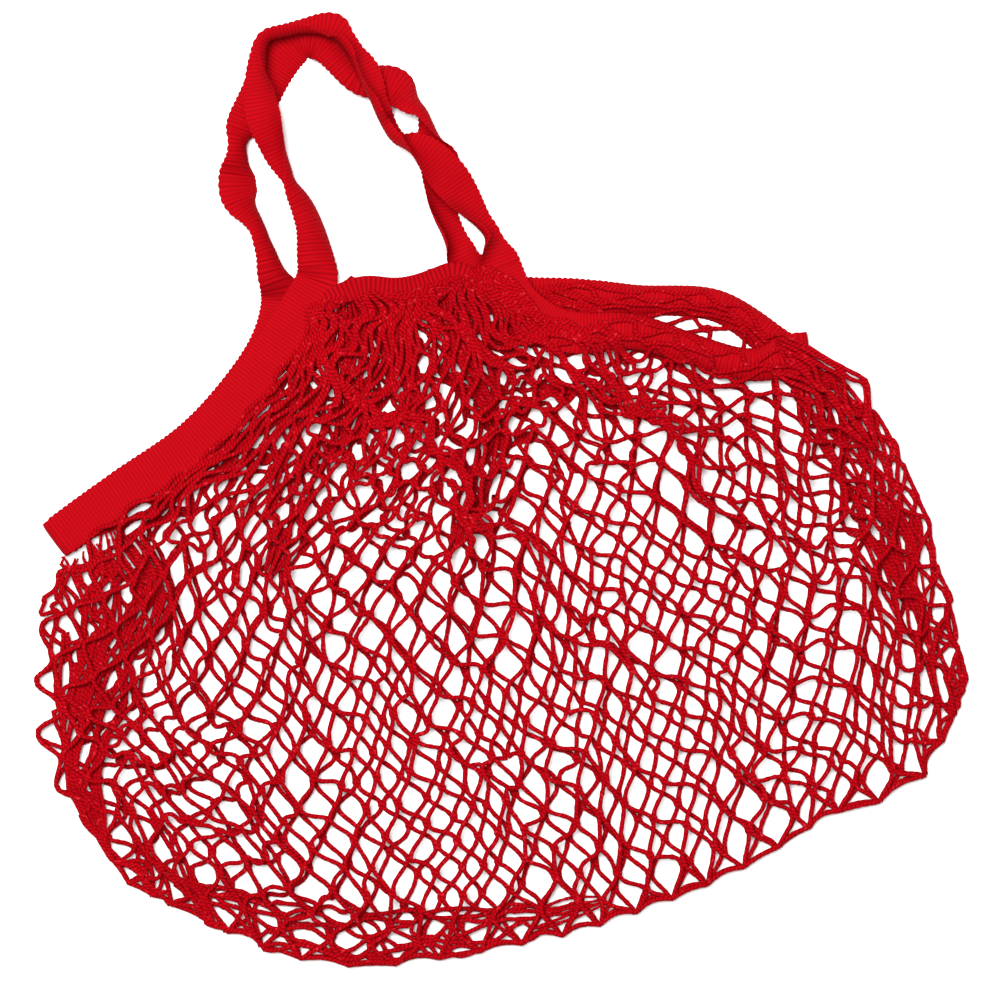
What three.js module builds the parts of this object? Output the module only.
// String shopping bag lying flat: a knotless net body, two folded top bands and two long
// ribbed tapes that bind the side slits and run on as the carrying handles.
// Millimetres. X runs across the bag, Y from the foot of the net towards the handles, Z up.
// The origin is on the surface the bag lies on, under the middle of its outline.
import * as THREE from 'three';
import { mergeVertices } from 'three/addons/utils/BufferGeometryUtils.js';

// Driving sizes.
const BAG_WIDTH = 575; // widest spread of the net
const BAG_LENGTH = 588; // top of the handles to the foot of the net
const TAPE_WIDTH = 24.5; // ribbed tape of the slits and handles
const TAPE_THICKNESS = 1.6;
const BAND_WIDTH = 13.5; // tape folded in half over the gathered net
const BAND_THICKNESS = 3.2;
const NET_WALL = 3; // one layer of knotted yarn
const INSIDE_HEIGHT = 6; // clear height between the two layers
const EDGE_WIDTH = 5; // folded sides and foot of the net
const SEAM_GAP = 0.3; // clearance where two pieces meet
const GAP_WIDTH = 42; // one gap of the net, across
const GAP_HEIGHT = 56; // one gap of the net, along the bag
const STRAND_WIDTH = 12; // bundle of strands between two gaps
const JUNCTION_LENGTH = 10; // where two bundles run side by side
const FRONT_NET_TURN = -12; // degrees that the front layer's gaps lie askew
const BACK_NET_TURN = 20; // degrees that the back layer's gaps lie askew
const FRONT_NET_SHIFT = 0.25; // front gaps' offset across, in pitches
const BACK_NET_SHIFT = 0;
const GATHER_DEPTH = 62; // length of the pleats under the top band
const GATHER_FAN = [-112, -74]; // directions of the first and last pleat in degrees
const PLEAT_HEIGHT = 4.5;
const PLEAT_COUNT = 11;
const FOLD_HEIGHT = 7; // tallest loose fold of the front layer
const FOLD_WIDTH = 42; // its width
const FOLD_STEEPNESS = 4; // how fast a fold falls away to its sides

// Steps used to turn the smooth shapes into facets.
const STEPS_PER_ROW = 2;
const RIM_STEPS = 84;
const CUP_SAMPLES = [-1, -0.5, 0, 0.5, 1];
const TURN_STEPS = 5;
const PLEAT_STEPS = 4;
const GATHER_ROWS = 4;

// Levels worked out from the sizes above.
const MOUTH_HEIGHT = NET_WALL + INSIDE_HEIGHT; // underside of the front layer
const FRONT_TAPE_LIFT = MOUTH_HEIGHT + (NET_WALL - TAPE_THICKNESS) / 2;
const FLAT = 0.9999; // share of the tape's width at which it counts as uncupped

// Places are shares: x of BAG_WIDTH, y of BAG_LENGTH, both from the middle of the outline.
// chord is the straight width as a share of the tape's width, so less is more cupped.
// roll turns the tape about its own length in degrees, left edge up.
// lift is the height of the low edge as a share of the front tape's level.
const LEFT_FRONT_TAPE = [
  // x, y, chord, roll, lift
  [-0.474, -0.046, FLAT, 0, 1],
  [-0.438, -0.020, FLAT, 0, 1],
  [-0.401, 0.005, FLAT, 0, 1],
  [-0.352, 0.037, FLAT, 0, 1],
  [-0.309, 0.072, FLAT, 0, 1],
  [-0.271, 0.116, FLAT, 0, 1],
  [-0.238, 0.159, FLAT, 0, 1],
  [-0.214, 0.196, FLAT, 0, 1],
];
const FRONT_HANDLE = [
  // x, y, chord, roll, lift
  [-0.199, 0.222, FLAT, 0, 1],
  [-0.198, 0.243, 0.93, 16, 0.8],
  [-0.200, 0.263, 0.92, 35, 0.45],
  [-0.203, 0.279, 0.90, 45, 0.2],
  [-0.209, 0.296, 0.88, 52, 0],
  [-0.217, 0.311, 0.85, 62, 0],
  [-0.227, 0.325, 0.80, 88, 0],
  [-0.232, 0.338, 0.82, 108, 0],
  [-0.240, 0.356, 0.85, 128, 0.2],
  [-0.246, 0.373, 0.90, 142, 0.7],
  [-0.254, 0.394, 0.95, 155, 1],
  [-0.258, 0.418, 0.90, 150, 0.9],
  [-0.260, 0.440, 0.80, 125, 0.7],
  [-0.259, 0.461, 0.75, 108, 0.7],
  [-0.253, 0.477, 0.70, 100, 0.6],
  [-0.236, 0.483, 0.70, 98, 0.6],
  [-0.215, 0.487, 0.70, 105, 0.6],
  [-0.198, 0.488, 0.80, 125, 0.6],
  [-0.181, 0.486, 0.85, 140, 0.6],
  [-0.169, 0.476, 0.75, 112, 0.6],
  [-0.160, 0.464, 0.75, 108, 0.6],
  [-0.151, 0.450, 0.80, 122, 0.9],
  [-0.145, 0.439, 0.80, 128, 1.1],
  [-0.139, 0.424, 0.78, 122, 1.2],
  [-0.133, 0.410, 0.75, 108, 1],
  [-0.128, 0.398, 0.75, 106, 0.9],
  [-0.121, 0.384, 0.72, 100, 0.2],
  [-0.111, 0.371, 0.72, 98, 0.4],
  [-0.097, 0.364, 0.80, 125, 1.1],
  [-0.079, 0.353, 0.92, 150, 1.2],
  [-0.058, 0.331, 0.98, 168, 1],
  [-0.045, 0.313, 0.95, 155, 0.6],
  [-0.034, 0.297, 0.88, 138, 0.4],
  [-0.021, 0.282, 0.80, 115, 0.2],
  [-0.012, 0.270, 0.80, 110, 0.2],
  [-0.008, 0.255, 0.88, 140, 0.5],
  [-0.001, 0.236, FLAT, 180, 1],
];
const RIGHT_FRONT_TAPE = [
  // x, y, chord, roll, lift
  [0.011, 0.209, FLAT, 180, 1],
  [0.031, 0.187, FLAT, 180, 1],
  [0.063, 0.170, FLAT, 180, 1],
  [0.101, 0.167, FLAT, 180, 1],
  [0.144, 0.172, FLAT, 180, 1],
  [0.192, 0.160, FLAT, 180, 1],
  [0.236, 0.146, FLAT, 180, 1],
  [0.274, 0.137, FLAT, 180, 1],
  [0.311, 0.143, FLAT, 180, 1],
  [0.335, 0.148, FLAT, 180, 1],
];
const LEFT_BACK_TAPE = [
  // x, y, chord, roll, lift
  [-0.474, -0.046, FLAT, 0, 0],
  [-0.438, -0.020, FLAT, 0, 0],
  [-0.401, 0.007, FLAT, 0, 0],
  [-0.352, 0.039, FLAT, 0, 0],
  [-0.311, 0.074, FLAT, 0, 0],
  [-0.275, 0.116, FLAT, 0, 0],
  [-0.248, 0.159, FLAT, 0, 0],
];
const BACK_HANDLE = [
  // x, y, chord, roll, lift
  [-0.237, 0.202, FLAT, 0, 0],
  [-0.243, 0.227, 0.85, 32, 0],
  [-0.249, 0.248, 0.80, 60, 0],
  [-0.255, 0.263, 0.80, 72, 0],
  [-0.259, 0.274, 0.80, 76, 0],
  [-0.267, 0.289, 0.85, 62, 0],
  [-0.276, 0.301, 0.92, 42, 0],
  [-0.282, 0.315, 0.97, 22, 0],
  [-0.283, 0.331, 0.96, 25, 0],
  [-0.281, 0.350, 0.85, 58, 0],
  [-0.281, 0.364, 0.82, 70, 0],
  [-0.276, 0.384, 0.90, 30, 0],
  [-0.265, 0.407, 0.98, 5, 0],
  [-0.255, 0.428, 0.98, 4, 0],
  [-0.242, 0.450, 0.98, 4, 0],
  [-0.226, 0.469, 0.98, 4, 0],
  [-0.209, 0.476, 0.85, 0, 0],
  [-0.192, 0.471, 0.88, -25, 0],
  [-0.178, 0.459, 0.85, -38, 0],
  [-0.164, 0.444, 0.80, -40, 0],
  [-0.146, 0.434, 0.85, -25, 0],
  [-0.117, 0.428, 0.94, -4, 0],
  [-0.097, 0.410, 0.85, -52, 0],
  [-0.087, 0.400, 0.80, -80, 0],
  [-0.081, 0.388, 0.78, -100, 0],
  [-0.076, 0.373, 0.78, -125, 0],
  [-0.071, 0.358, 0.90, -158, 0],
  [-0.065, 0.340, 0.97, -180, 0],
  [-0.065, 0.308, 0.90, -210, 0],
  [-0.063, 0.290, 0.85, -228, 0],
  [-0.057, 0.276, 0.82, -232, 0],
  [-0.051, 0.263, 0.78, -226, 0],
  [-0.044, 0.248, 0.80, -194, 0],
  [-0.034, 0.232, FLAT, -180, 0],
];
const RIGHT_BACK_TAPE = [
  // x, y, chord, roll, lift
  [-0.014, 0.216, FLAT, -180, 0],
  [0.015, 0.206, FLAT, -180, 0],
  [0.063, 0.204, FLAT, -180, 0],
  [0.106, 0.202, FLAT, -180, 0],
  [0.160, 0.196, FLAT, -180, 0],
  [0.214, 0.195, FLAT, -180, 0],
  [0.250, 0.184, FLAT, -180, 0],
  [0.284, 0.160, FLAT, -180, 0],
  [0.311, 0.143, FLAT, -180, 0],
  [0.335, 0.148, FLAT, -180, 0],
];

// Middle line of each top band between its two seams.
const FRONT_BAND = [
  // x, y
  [-0.151, 0.215],
  [-0.120, 0.214],
  [-0.092, 0.217],
  [-0.066, 0.226],
  [-0.045, 0.229],
];
const BACK_BAND = [
  // x, y
  [-0.185, 0.205],
  [-0.151, 0.209],
  [-0.120, 0.211],
  [-0.092, 0.213],
];

// Outline of the folded sides and foot of the net, from the right slit round to the left one.
const RIM = [
  // x, y
  [0.340, 0.112],
  [0.365, 0.116],
  [0.384, 0.100],
  [0.412, 0.070],
  [0.435, 0.023],
  [0.458, -0.025],
  [0.471, -0.088],
  [0.489, -0.156],
  [0.497, -0.209],
  [0.474, -0.259],
  [0.440, -0.314],
  [0.376, -0.331],
  [0.322, -0.358],
  [0.263, -0.393],
  [0.203, -0.420],
  [0.133, -0.446],
  [0.063, -0.467],
  [-0.013, -0.481],
  [-0.109, -0.496],
  [-0.185, -0.496],
  [-0.258, -0.478],
  [-0.336, -0.443],
  [-0.401, -0.411],
  [-0.449, -0.346],
  [-0.491, -0.288],
  [-0.500, -0.219],
  [-0.498, -0.167],
  [-0.490, -0.120],
  [-0.479, -0.090],
  [-0.462, -0.074],
];

// Loose folds of the front layer. height and width are shares of the fold sizes.
const FOLDS = [
  // x0, y0, x1, y1, height, width
  [-0.080, 0.110, 0.060, -0.240, 1.0, 1.0],
  [-0.180, 0.120, -0.230, -0.180, 0.6, 0.8],
  [-0.380, -0.040, -0.330, -0.260, 0.9, 0.9],
  [-0.430, -0.120, -0.450, -0.280, 0.7, 0.7],
  [0.300, 0.080, 0.440, -0.120, 1.0, 0.9],
  [0.120, 0.080, 0.300, -0.060, 0.5, 0.8],
  [-0.230, -0.420, 0.020, -0.440, 0.8, 0.7],
];

/** Turns a place given in shares into millimetres. */
function place(x, y, z = 0) {
  return new THREE.Vector3(x * BAG_WIDTH, y * BAG_LENGTH, z);
}

/** Half the angle of the arc whose chord is this share of its length. */
function cupAngle(chord) {
  return Math.sqrt(6 * (1 - chord));
}

/** Cross-section of the tape: top points, then bottom points, as [across, up] pairs. */
function tapeSection(chord, rollDegrees) {
  const cup = cupAngle(chord);
  const radius = (chord * TAPE_WIDTH) / (2 * Math.sin(cup));
  const sag = radius * (1 - Math.cos(cup));
  const roll = THREE.MathUtils.degToRad(rollDegrees);
  const turned = (across, up) => [
    across * Math.cos(roll) - up * Math.sin(roll),
    across * Math.sin(roll) + up * Math.cos(roll),
  ];
  const face = (offset) => CUP_SAMPLES.map((sample) => {
    const angle = cup * sample;
    const reach = radius + offset;
    return turned(reach * Math.sin(angle), reach * Math.cos(angle) - radius + sag / 2);
  });
  const top = face(TAPE_THICKNESS / 2);
  const bottom = face(-TAPE_THICKNESS / 2).reverse();
  return [...top, ...bottom];
}

/** Frames along a tape: a middle point, the left-hand direction, the up direction, a section. */
function tapeFrames(rows) {
  const line = new THREE.CatmullRomCurve3(rows.map(([x, y]) => place(x, y)));
  const turns = new THREE.CatmullRomCurve3(
    rows.map(([, , chord, roll, lift]) => new THREE.Vector3(chord, roll / 180, lift)),
  );
  const count = (rows.length - 1) * STEPS_PER_ROW;
  const frames = [];
  for (let step = 0; step <= count; step += 1) {
    const share = step / count;
    const point = line.getPoint(share);
    const along = line.getTangent(share);
    const { x: chord, y: halfTurns, z: lift } = turns.getPoint(share);
    const section = tapeSection(Math.min(chord, FLAT), halfTurns * 180);
    const lowest = Math.min(...section.map(([, up]) => up));
    point.z = Math.max(lift, 0) * FRONT_TAPE_LIFT - lowest;
    const across = new THREE.Vector3(-along.y, along.x, 0).normalize();
    frames.push({ point, along, across, up: new THREE.Vector3(0, 0, 1), section });
  }
  return frames;
}

/** The frames of one stretch of a loop, drawn back at each end by its own distance. */
function stretch(frames, firstRow, lastRow, startGap, endGap) {
  const part = frames
    .slice(firstRow * STEPS_PER_ROW, lastRow * STEPS_PER_ROW + 1)
    .map((frame) => ({ ...frame, point: frame.point.clone() }));
  part[0].point.addScaledVector(part[0].along, startGap);
  part.at(-1).point.addScaledVector(part.at(-1).along, -endGap);
  return part;
}

/** Frames of the half turn in which the front tape goes round the slit's end to the back tape. */
function turnFrames(frame, outwards) {
  const highest = Math.max(...frame.section.map(([, up]) => up));
  const radius = (frame.point.z - highest) / 2;
  const centre = frame.point.clone().setZ(frame.point.z - radius);
  const frames = [];
  for (let step = 1; step <= TURN_STEPS; step += 1) {
    const angle = (Math.PI * step) / TURN_STEPS;
    const up = new THREE.Vector3(0, 0, Math.cos(angle)).addScaledVector(outwards, Math.sin(angle));
    const point = centre.clone().addScaledVector(up, radius);
    frames.push({ ...frame, point, up });
  }
  return frames;
}

/** Closed solid of the sections carried along the frames. */
function sweptSolid(frames) {
  const sides = frames[0].section.length;
  const points = frames.flatMap(({ point, across, up, section }) => section.map(([right, rise]) => (
    point.clone().addScaledVector(across, right).addScaledVector(up, rise)
  )));
  const faces = [];
  for (let ring = 0; ring < frames.length - 1; ring += 1) {
    for (let side = 0; side < sides; side += 1) {
      const next = (side + 1) % sides;
      const a = ring * sides + side;
      const b = ring * sides + next;
      faces.push([a, b + sides, b], [a, a + sides, b + sides]);
    }
  }
  const last = (frames.length - 1) * sides;
  for (let side = 0; side < sides / 2 - 1; side += 1) {
    const low = sides - 1 - side;
    faces.push([side, low - 1, low], [side, side + 1, low - 1]);
    faces.push([last + side, last + low, last + low - 1], [last + side, last + low - 1, last + side + 1]);
  }
  return solid(points, faces);
}

/** Geometry of a closed solid from its points and three-cornered faces. */
function solid(points, faces) {
  const positions = new Float32Array(faces.flat().flatMap((index) => points[index].toArray()));
  const geometry = new THREE.BufferGeometry();
  geometry.setAttribute('position', new THREE.BufferAttribute(positions, 3));
  return mergeVertices(geometry, 1e-4);
}

/** Solid band between two seams, whose ends lie along the tapes that it meets. */
function bandFrames(rows, startSeam, endSeam, level) {
  const reach = TAPE_WIDTH / 2 + SEAM_GAP;
  const start = startSeam.point.clone()
    .addScaledVector(startSeam.across, -reach)
    .addScaledVector(startSeam.along, -BAND_WIDTH / 2);
  const end = endSeam.point.clone()
    .addScaledVector(endSeam.across, -reach)
    .addScaledVector(endSeam.along, BAND_WIDTH / 2);
  const line = new THREE.CatmullRomCurve3([start, ...rows.map(([x, y]) => place(x, y)), end]);
  const halfWidth = BAND_WIDTH / 2;
  const halfThickness = BAND_THICKNESS / 2;
  const section = [
    [-halfWidth, halfThickness],
    [halfWidth, halfThickness],
    [halfWidth, -halfThickness],
    [-halfWidth, -halfThickness],
  ];
  const count = (rows.length + 1) * STEPS_PER_ROW;
  const frames = [];
  for (let step = 0; step <= count; step += 1) {
    const point = line.getPoint(step / count).setZ(level);
    const along = line.getTangent(step / count).setZ(0).normalize();
    const across = new THREE.Vector3(-along.y, along.x, 0);
    frames.push({ point, along, across, up: new THREE.Vector3(0, 0, 1), section });
  }
  frames[0].across = startSeam.along.clone();
  frames.at(-1).across = endSeam.along.clone().negate();
  return frames;
}

/** Points beside a run of frames, on their right-hand side. */
function rightSide(frames, distance) {
  return frames.map(({ point, across }) => point.clone().addScaledVector(across, -distance).setZ(0));
}

/** The line along which a layer of net meets its left tape, top band and right tape. */
function mouthLine(leftFrames, band, rightFrames) {
  const tapeReach = TAPE_WIDTH / 2 + SEAM_GAP;
  const middle = rightSide(band, BAND_WIDTH / 2 + SEAM_GAP);
  const left = rightSide(leftFrames, tapeReach).filter((point) => (
    point.y < middle[0].y - SEAM_GAP && point.x < middle[0].x
  ));
  const right = rightSide(rightFrames, tapeReach).filter((point) => (
    point.y < middle.at(-1).y - SEAM_GAP && point.x > middle.at(-1).x
  ));
  return { left, middle, right };
}

/** True where a point lies inside a closed outline. */
function isInside(point, outline) {
  let inside = false;
  outline.forEach((corner, index) => {
    const other = outline.at(index - 1);
    const crosses = (corner.y > point.y) !== (other.y > point.y);
    const slope = (other.x - corner.x) / (other.y - corner.y);
    if (crosses && point.x < corner.x + slope * (point.y - corner.y)) {
      inside = !inside;
    }
  });
  return inside;
}

/** Six-cornered gap of the net round a centre, grown by a margin and turned. */
function gapCorners(centre, margin, angle) {
  const halfWidth = GAP_WIDTH / 2 + margin;
  const halfHeight = GAP_HEIGHT / 2 + margin;
  const halfJunction = JUNCTION_LENGTH / 2;
  const corners = [
    [0, halfHeight],
    [-halfWidth, halfJunction],
    [-halfWidth, -halfJunction],
    [0, -halfHeight],
    [halfWidth, -halfJunction],
    [halfWidth, halfJunction],
  ];
  const upwards = new THREE.Vector3(0, 0, 1);
  return corners.map(([x, y]) => new THREE.Vector3(x, y, 0).applyAxisAngle(upwards, angle).add(centre));
}

/** All gaps that fit inside an outline, in staggered rows turned by an angle in degrees. */
function netGaps(outline, turnDegrees, shift) {
  const angle = THREE.MathUtils.degToRad(turnDegrees);
  const pitchAcross = GAP_WIDTH + STRAND_WIDTH;
  const pitchAlong = (GAP_HEIGHT + JUNCTION_LENGTH) / 2 + STRAND_WIDTH;
  const rows = Math.ceil(BAG_LENGTH / pitchAlong);
  const columns = Math.ceil(BAG_WIDTH / pitchAcross);
  const upwards = new THREE.Vector3(0, 0, 1);
  const gaps = [];
  for (let row = -rows; row <= rows; row += 1) {
    for (let column = -columns; column <= columns; column += 1) {
      const stagger = (row % 2) / 2 + shift;
      const centre = new THREE.Vector3((column + stagger) * pitchAcross, row * pitchAlong, 0)
        .applyAxisAngle(upwards, angle);
      const room = gapCorners(centre, STRAND_WIDTH / 2, angle);
      if (room.every((corner) => isInside(corner, outline))) {
        gaps.push(gapCorners(centre, 0, angle));
      }
    }
  }
  return gaps;
}

/** How far the loose folds lift the front layer at a place. */
function foldRise(point) {
  let rise = 0;
  FOLDS.forEach(([x0, y0, x1, y1, height, width]) => {
    const crest = new THREE.Line3(place(x0, y0), place(x1, y1));
    const nearest = crest.closestPointToPoint(point, true, new THREE.Vector3());
    const away = nearest.distanceTo(point) / (width * FOLD_WIDTH);
    rise = Math.max(rise, height * FOLD_HEIGHT * Math.exp(-(away ** 2) * FOLD_STEEPNESS));
  });
  return rise;
}

/** Share of a fold that is left near the outline, where the net is held down flat. */
function edgeEase(point, outline) {
  const nearest = Math.min(...outline.map((corner) => corner.distanceTo(point)));
  return THREE.MathUtils.smoothstep(nearest, SEAM_GAP, GAP_WIDTH);
}

/** Rows of points that fan out below the top band, with the rise of each pleat. */
function gatherRows(middle) {
  const line = new THREE.CatmullRomCurve3(middle);
  const columns = PLEAT_COUNT * PLEAT_STEPS;
  const rows = [];
  for (let row = 0; row <= GATHER_ROWS; row += 1) {
    const down = row / GATHER_ROWS;
    const points = [];
    for (let column = 0; column <= columns; column += 1) {
      const share = column / columns;
      const start = line.getPoint(share);
      const spread = THREE.MathUtils.degToRad(THREE.MathUtils.lerp(...GATHER_FAN, share));
      start.x += Math.cos(spread) * GATHER_DEPTH * down;
      start.y += Math.sin(spread) * GATHER_DEPTH * down;
      const wave = Math.abs(Math.sin(Math.PI * PLEAT_COUNT * share));
      start.z = PLEAT_HEIGHT * wave * Math.sin(Math.PI * Math.sqrt(down));
      points.push(start);
    }
    rows.push(points);
  }
  return rows;
}

/** Closed wall of even thickness over an outline with gaps, plus an optional pleated patch. */
function wallSolid(outline, gaps, patch, level, rise) {
  const plan = [];
  const flatFaces = [];
  const add = (point) => plan.push(point) - 1;
  outline.forEach(add);
  gaps.flat().forEach(add);
  const toPlan = (point) => new THREE.Vector2(point.x, point.y);
  THREE.ShapeUtils.triangulateShape(outline.map(toPlan), gaps.map((gap) => gap.map(toPlan)))
    .forEach((face) => flatFaces.push(face));
  if (patch) {
    const indices = patch.map((row) => row.map(add));
    for (let row = 0; row < patch.length - 1; row += 1) {
      for (let column = 0; column < patch[row].length - 1; column += 1) {
        const corner = indices[row][column];
        const below = indices[row + 1][column];
        flatFaces.push([corner, below, below + 1], [corner, below + 1, corner + 1]);
      }
    }
  }
  const heights = plan.map((point) => level + point.z + rise(point));
  const bottom = plan.map((point, index) => new THREE.Vector3(point.x, point.y, heights[index]));
  const top = bottom.map((point) => point.clone().setZ(point.z + NET_WALL));
  const count = plan.length;
  const faces = [];
  flatFaces.forEach(([a, b, c]) => {
    const ab = plan[b].clone().sub(plan[a]);
    const ac = plan[c].clone().sub(plan[a]);
    const [p, q] = ab.x * ac.y - ab.y * ac.x > 0 ? [b, c] : [c, b];
    faces.push([a + count, p + count, q + count], [a, q, p]);
  });
  const border = openEdges(faces, plan, count);
  border.forEach(([from, to]) => {
    faces.push([from, to, to + count], [from, to + count, from + count]);
  });
  return solid([...bottom, ...top], faces);
}

/** Edges of the top faces that only one face uses, as runs along the bottom points. */
function openEdges(faces, plan, count) {
  const label = (index) => `${plan[index].x.toFixed(3)},${plan[index].y.toFixed(3)}`;
  const edges = new Map();
  faces.filter(([a]) => a >= count).forEach((face) => {
    face.forEach((index, corner) => {
      const from = index - count;
      const to = face[(corner + 1) % face.length] - count;
      const back = `${label(to)}|${label(from)}`;
      if (edges.has(back)) {
        edges.delete(back);
      } else {
        edges.set(`${label(from)}|${label(to)}`, [from, to]);
      }
    });
  });
  return [...edges.values()];
}

/** The folded edge between the layers, carried along the inside of the rim. */
function edgeFrames(rim) {
  const halfHeight = INSIDE_HEIGHT / 2 - SEAM_GAP;
  const halfWidth = EDGE_WIDTH / 2;
  const section = [
    [-halfWidth, halfHeight],
    [halfWidth, halfHeight],
    [halfWidth, -halfHeight],
    [-halfWidth, -halfHeight],
  ];
  const level = NET_WALL + INSIDE_HEIGHT / 2;
  return rim.map((corner, index) => {
    const before = rim[Math.max(index - 1, 0)];
    const after = rim[Math.min(index + 1, rim.length - 1)];
    const along = after.clone().sub(before).normalize();
    const across = new THREE.Vector3(-along.y, along.x, 0);
    const point = corner.clone().addScaledVector(across, -halfWidth).setZ(level);
    return { point, along, across, up: new THREE.Vector3(0, 0, 1), section };
  });
}

/** Smooth closed side and foot of the net as a row of points. */
function rimPoints() {
  const line = new THREE.CatmullRomCurve3(RIM.map(([x, y]) => place(x, y)));
  return line.getSpacedPoints(RIM_STEPS);
}

// Finishes: dyed cotton yarn and the same cotton woven into a ribbed tape.
const yarn = { color: '#c8041c', roughness: 0.9, metalness: 0 };
const tape = { color: '#d20a24', roughness: 0.85, metalness: 0 };
const foldedTape = { color: '#b80a1e', roughness: 0.88, metalness: 0 };

const bag = new THREE.Group();

/** Adds one named piece with its own material. */
function addPiece(name, geometry, finish) {
  geometry.computeVertexNormals();
  const mesh = new THREE.Mesh(geometry, new THREE.MeshStandardMaterial(finish));
  mesh.name = name;
  bag.add(mesh);
}

// Each tape runs from the left end of its slits, over its handle, to the right end.
const frontRows = [...LEFT_FRONT_TAPE, ...FRONT_HANDLE, ...RIGHT_FRONT_TAPE];
const backRows = [...LEFT_BACK_TAPE, ...BACK_HANDLE, ...RIGHT_BACK_TAPE];
const frontLoop = tapeFrames(frontRows);
const backLoop = tapeFrames(backRows);
const frontLeftSeam = LEFT_FRONT_TAPE.length;
const frontRightSeam = frontLeftSeam + FRONT_HANDLE.length - 1;
const backLeftSeam = LEFT_BACK_TAPE.length;
const backRightSeam = backLeftSeam + BACK_HANDLE.length - 1;

const halfGap = SEAM_GAP / 2;
const leftFront = stretch(frontLoop, 0, frontLeftSeam, 0, halfGap);
const rightFront = stretch(frontLoop, frontRightSeam, frontRows.length - 1, halfGap, 0);
const leftBack = stretch(backLoop, 0, backLeftSeam, SEAM_GAP, halfGap);
const rightBack = stretch(backLoop, backRightSeam, backRows.length - 1, halfGap, SEAM_GAP);
const leftTurn = turnFrames(leftFront[0], leftFront[0].along.clone().negate()).reverse();
const rightTurn = turnFrames(rightFront.at(-1), rightFront.at(-1).along);

addPiece('side_tape_left_front', sweptSolid([...leftTurn, ...leftFront]), tape);
addPiece('side_tape_right_front', sweptSolid([...rightFront, ...rightTurn]), tape);
addPiece('side_tape_left_back', sweptSolid(leftBack), tape);
addPiece('side_tape_right_back', sweptSolid(rightBack), tape);
const frontHandle = stretch(frontLoop, frontLeftSeam, frontRightSeam, halfGap, halfGap);
const backHandle = stretch(backLoop, backLeftSeam, backRightSeam, halfGap, halfGap);
addPiece('handle_front', sweptSolid(frontHandle), tape);
addPiece('handle_back', sweptSolid(backHandle), tape);

const seamFrame = (loop, row) => loop[row * STEPS_PER_ROW];
const frontBand = bandFrames(
  FRONT_BAND,
  seamFrame(frontLoop, frontLeftSeam),
  seamFrame(frontLoop, frontRightSeam),
  MOUTH_HEIGHT + NET_WALL / 2,
);
const backBand = bandFrames(
  BACK_BAND,
  seamFrame(backLoop, backLeftSeam),
  seamFrame(backLoop, backRightSeam),
  BAND_THICKNESS / 2,
);
addPiece('band_front', sweptSolid(frontBand), foldedTape);
addPiece('band_back', sweptSolid(backBand), foldedTape);

const rim = rimPoints();
addPiece('net_edge', sweptSolid(edgeFrames(rim)), yarn);

const frontMouth = mouthLine(leftFront, frontBand, rightFront);
const gathers = gatherRows(frontMouth.middle);
const frontOutline = [
  ...frontMouth.left,
  ...gathers.map((row) => row[0]),
  ...gathers.at(-1).slice(1, -1),
  ...gathers.map((row) => row.at(-1)).reverse(),
  ...frontMouth.right,
  ...rim,
];
const frontGaps = netGaps(frontOutline, FRONT_NET_TURN, FRONT_NET_SHIFT);
const frontRise = (point) => foldRise(point) * edgeEase(point, frontOutline);
addPiece('net_front', wallSolid(frontOutline, frontGaps, gathers, MOUTH_HEIGHT, frontRise), yarn);

const backMouth = mouthLine(leftBack, backBand, rightBack);
const backOutline = [...backMouth.left, ...backMouth.middle, ...backMouth.right, ...rim];
const backGaps = netGaps(backOutline, BACK_NET_TURN, BACK_NET_SHIFT);
addPiece('net_back', wallSolid(backOutline, backGaps, null, 0, () => 0), yarn);

// The origin goes under the middle of the whole outline, on the surface that the bag lies on.
const outlineBox = new THREE.Box3().setFromObject(bag);
const outlineMiddle = outlineBox.getCenter(new THREE.Vector3());
bag.position.set(-outlineMiddle.x, -outlineMiddle.y, -outlineBox.min.z);

export default bag;
